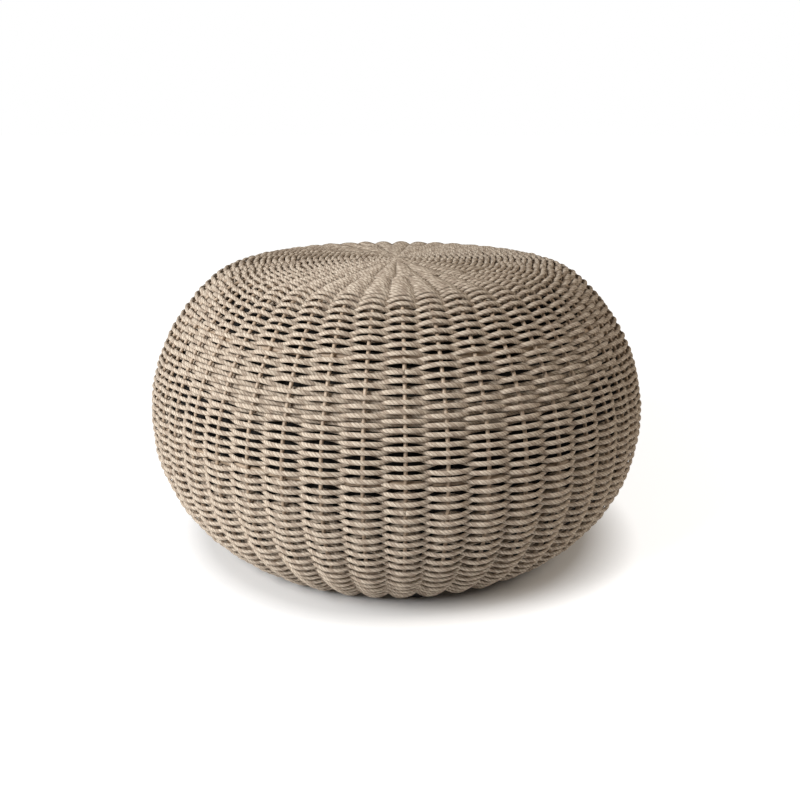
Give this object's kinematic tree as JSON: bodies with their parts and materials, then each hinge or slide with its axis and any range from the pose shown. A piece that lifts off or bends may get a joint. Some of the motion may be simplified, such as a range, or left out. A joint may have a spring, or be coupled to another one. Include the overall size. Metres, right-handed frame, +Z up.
{
  "type": "outdoor ottoman footstool",
  "caption": "Round woven outdoor footstool: one twisted cord woven over bent metal ribs, with a closed domed crown, inner hoops, a base ring and floor glides.",
  "frame": {"origin": "on the floor, under the centre of the body", "axes": "+Z up, -Y towards the camera of the picture, +X to its right"},
  "size_m": [0.5992, 0.5995, 0.344],
  "materials": {
    "frame": "satin powder coat, light tan",
    "cord": "heathered taupe multi-ply twisted cord",
    "lining": "very dark brown thin cloth",
    "glides": "moulded, dark"
  },
  "bodies": {
    "root": {"top_hub": "frame", "rib_01": "frame", "rib_02": "frame", "rib_03": "frame", "rib_04": "frame", "rib_05": "frame", "rib_06": "frame", "rib_07": "frame", "rib_08": "frame", "rib_09": "frame", "rib_10": "frame", "rib_11": "frame", "rib_12": "frame", "rib_13": "frame", "rib_14": "frame", "rib_15": "frame", "rib_16": "frame", "rib_17": "frame", "rib_18": "frame", "rib_19": "frame", "rib_20": "frame", "rib_21": "frame", "rib_22": "frame", "rib_23": "frame", "rib_24": "frame", "rib_25": "frame", "rib_26": "frame", "rib_27": "frame", "rib_28": "frame", "rib_29": "frame", "rib_30": "frame", "rib_31": "frame", "rib_32": "frame", "rib_33": "frame", "rib_34": "frame", "rib_35": "frame", "rib_36": "frame", "rib_37": "frame", "rib_38": "frame", "rib_39": "frame", "rib_40": "frame", "rib_41": "frame", "rib_42": "frame", "rib_43": "frame", "rib_44": "frame", "rib_45": "frame", "upper_hoop": "frame", "middle_hoop": "frame", "lower_hoop": "frame", "base_ring": "frame", "lining": "lining", "glide_1": "glides", "glide_2": "glides", "glide_3": "glides", "glide_4": "glides", "glide_5": "glides", "glide_6": "glides", "woven_cover": "cord"}
  },
  "joints": []
}
